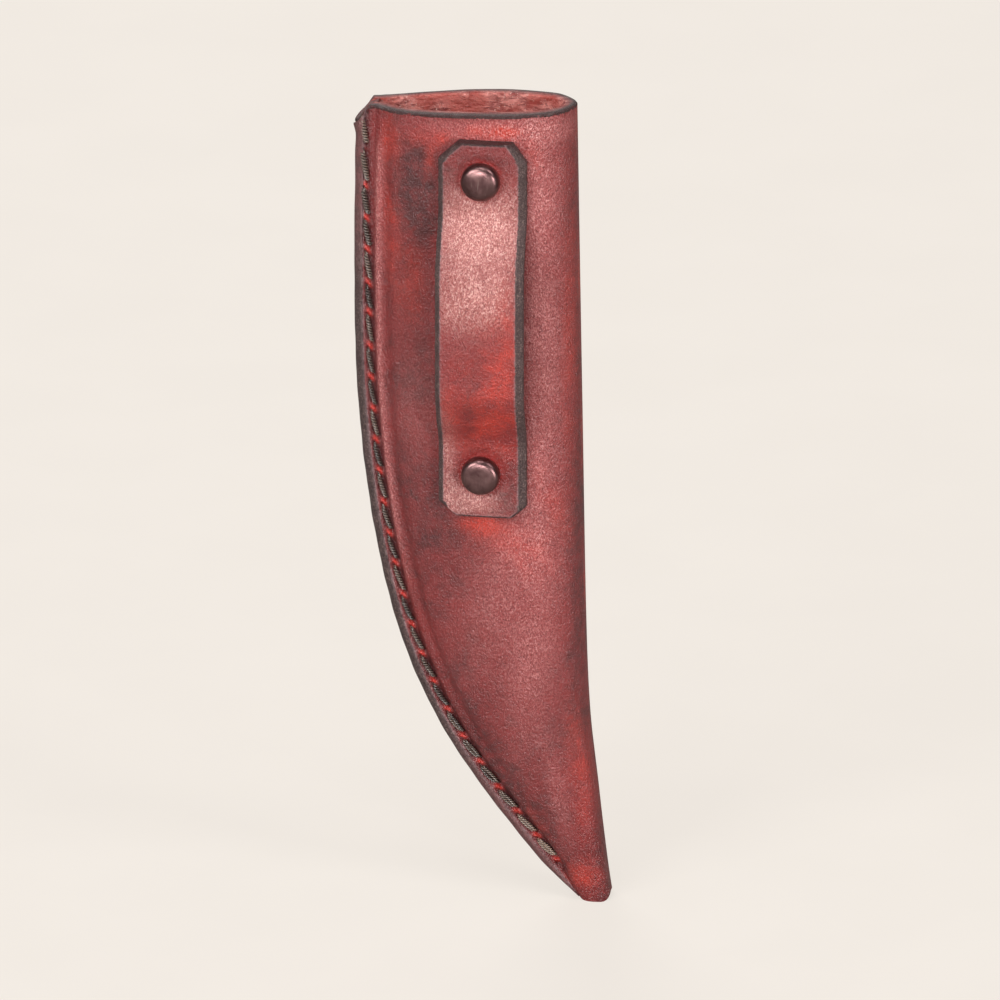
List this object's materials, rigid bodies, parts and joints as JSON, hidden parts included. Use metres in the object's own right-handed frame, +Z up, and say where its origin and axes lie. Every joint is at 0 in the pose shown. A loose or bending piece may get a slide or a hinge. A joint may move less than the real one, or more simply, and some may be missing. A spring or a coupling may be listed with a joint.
{
  "type": "knife sheath",
  "caption": "Folded leather knife sheath with a curved, stitched seam, an open mouth and a riveted belt loop strap.",
  "frame": {"origin": "bottom centre of the box around the whole sheath, level with the open tip", "axes": "+Z up through the mouth along the sheath, -Y towards the side with the belt loop, +X towards the folded edge"},
  "size_m": [0.0596, 0.0272, 0.196],
  "materials": {
    "body_leather": "deep red dyed and waxed vegetable-tanned leather with black mottling and burnished dark edges",
    "strap_leather": "the same dyed and waxed leather, brighter where the strap bows outwards",
    "welt_leather": "dark burnished leather filler strip",
    "waxed_thread": "thick twisted black waxed thread with small bright glints",
    "rivet_metal": "dark brown gunmetal plating, glossy dome"
  },
  "bodies": {
    "root": {"folded_leather_body": "body_leather", "edge_welt": "welt_leather", "belt_loop_strap": "strap_leather", "stitching_thread": "waxed_thread", "upper_rivet_front_cap": "rivet_metal", "upper_rivet_socket": "rivet_metal", "upper_rivet_stem": "rivet_metal", "upper_rivet_back_cap": "rivet_metal", "lower_rivet_front_cap": "rivet_metal", "lower_rivet_socket": "rivet_metal", "lower_rivet_stem": "rivet_metal", "lower_rivet_back_cap": "rivet_metal"}
  },
  "joints": []
}
